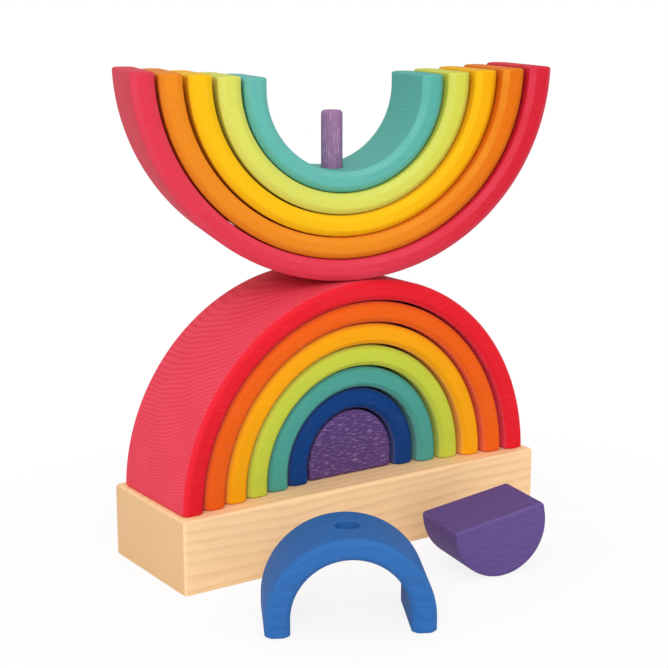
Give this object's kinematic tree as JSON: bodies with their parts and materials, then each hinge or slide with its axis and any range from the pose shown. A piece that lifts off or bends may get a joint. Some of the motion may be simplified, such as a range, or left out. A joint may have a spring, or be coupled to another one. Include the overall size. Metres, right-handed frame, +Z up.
{
  "type": "rainbow stacker",
  "caption": "Wooden stacking toy: nested rainbow arches, upright below and upturned above, threaded on a peg in a block base, with a loose arch and half-round core beside it.",
  "frame": {"origin": "middle of the base's bottom face, on the peg's axis", "axes": "+Z up along the peg, X along the base, the front towards -Y"},
  "size_m": [0.2422, 0.2187, 0.2699],
  "materials": {
    "bare_wood": "sanded bare softwood",
    "purple_stain": "water-stained softwood with its grain showing, matt",
    "blue_stain": "water-stained softwood with its grain showing, matt",
    "teal_stain": "water-stained softwood with its grain showing, matt",
    "green_stain": "water-stained softwood with its grain showing, matt",
    "yellow_stain": "water-stained softwood with its grain showing, matt",
    "orange_stain": "water-stained softwood with its grain showing, matt",
    "red_stain": "water-stained softwood with its grain showing, matt"
  },
  "bodies": {
    "stand": {"base": "bare_wood", "dowel": "purple_stain"},
    "lower_purple_block": {"lower_purple_block": "purple_stain"},
    "lower_blue_arch": {"lower_blue_arch": "blue_stain"},
    "lower_teal_arch": {"lower_teal_arch": "teal_stain"},
    "lower_green_arch": {"lower_green_arch": "green_stain"},
    "lower_yellow_arch": {"lower_yellow_arch": "yellow_stain"},
    "lower_orange_arch": {"lower_orange_arch": "orange_stain"},
    "lower_red_arch": {"lower_red_arch": "red_stain"},
    "upper_red_arch": {"upper_red_arch": "red_stain"},
    "upper_orange_arch": {"upper_orange_arch": "orange_stain"},
    "upper_yellow_arch": {"upper_yellow_arch": "yellow_stain"},
    "upper_green_arch": {"upper_green_arch": "green_stain"},
    "upper_teal_arch": {"upper_teal_arch": "teal_stain"},
    "loose_blue_arch": {"loose_blue_arch": "blue_stain"},
    "loose_purple_block": {"loose_purple_block": "purple_stain"}
  },
  "joints": [
    {"name": "lower_purple_block_lift", "type": "slide", "parent": "stand", "child": "lower_purple_block", "axis": [0, 0, 1], "range_m": [0, 0.208]},
    {"name": "lower_blue_arch_lift", "type": "slide", "parent": "lower_purple_block", "child": "lower_blue_arch", "axis": [0, 0, 1], "range_m": [0, 0.169]},
    {"name": "lower_teal_arch_lift", "type": "slide", "parent": "lower_blue_arch", "child": "lower_teal_arch", "axis": [0, 0, 1], "range_m": [0, 0.156]},
    {"name": "lower_green_arch_lift", "type": "slide", "parent": "lower_teal_arch", "child": "lower_green_arch", "axis": [0, 0, 1], "range_m": [0, 0.143]},
    {"name": "lower_yellow_arch_lift", "type": "slide", "parent": "lower_green_arch", "child": "lower_yellow_arch", "axis": [0, 0, 1], "range_m": [0, 0.131]},
    {"name": "lower_orange_arch_lift", "type": "slide", "parent": "lower_yellow_arch", "child": "lower_orange_arch", "axis": [0, 0, 1], "range_m": [0, 0.118]},
    {"name": "lower_red_arch_lift", "type": "slide", "parent": "lower_orange_arch", "child": "lower_red_arch", "axis": [0, 0, 1], "range_m": [0, 0.105]},
    {"name": "upper_rainbow_turn", "type": "hinge", "parent": "lower_red_arch", "child": "upper_red_arch", "pos_m": [0, 0, 0.1556], "axis": [0, 0, 1], "continuous": true},
    {"name": "upper_orange_arch_lift", "type": "slide", "parent": "upper_red_arch", "child": "upper_orange_arch", "axis": [0, 0, 1], "range_m": [0, 0.081]},
    {"name": "upper_yellow_arch_lift", "type": "slide", "parent": "upper_orange_arch", "child": "upper_yellow_arch", "axis": [0, 0, 1], "range_m": [0, 0.07]},
    {"name": "upper_green_arch_lift", "type": "slide", "parent": "upper_yellow_arch", "child": "upper_green_arch", "axis": [0, 0, 1], "range_m": [0, 0.058]},
    {"name": "upper_teal_arch_lift", "type": "slide", "parent": "upper_green_arch", "child": "upper_teal_arch", "axis": [0, 0, 1], "range_m": [0, 0.046]},
    {"name": "loose_blue_arch_lift", "type": "slide", "parent": "stand", "child": "loose_blue_arch", "axis": [0, 0, 1], "range_m": [0, 0.1]},
    {"name": "loose_purple_block_lift", "type": "slide", "parent": "stand", "child": "loose_purple_block", "axis": [0, 0, 1], "range_m": [0, 0.1]}
  ]
}
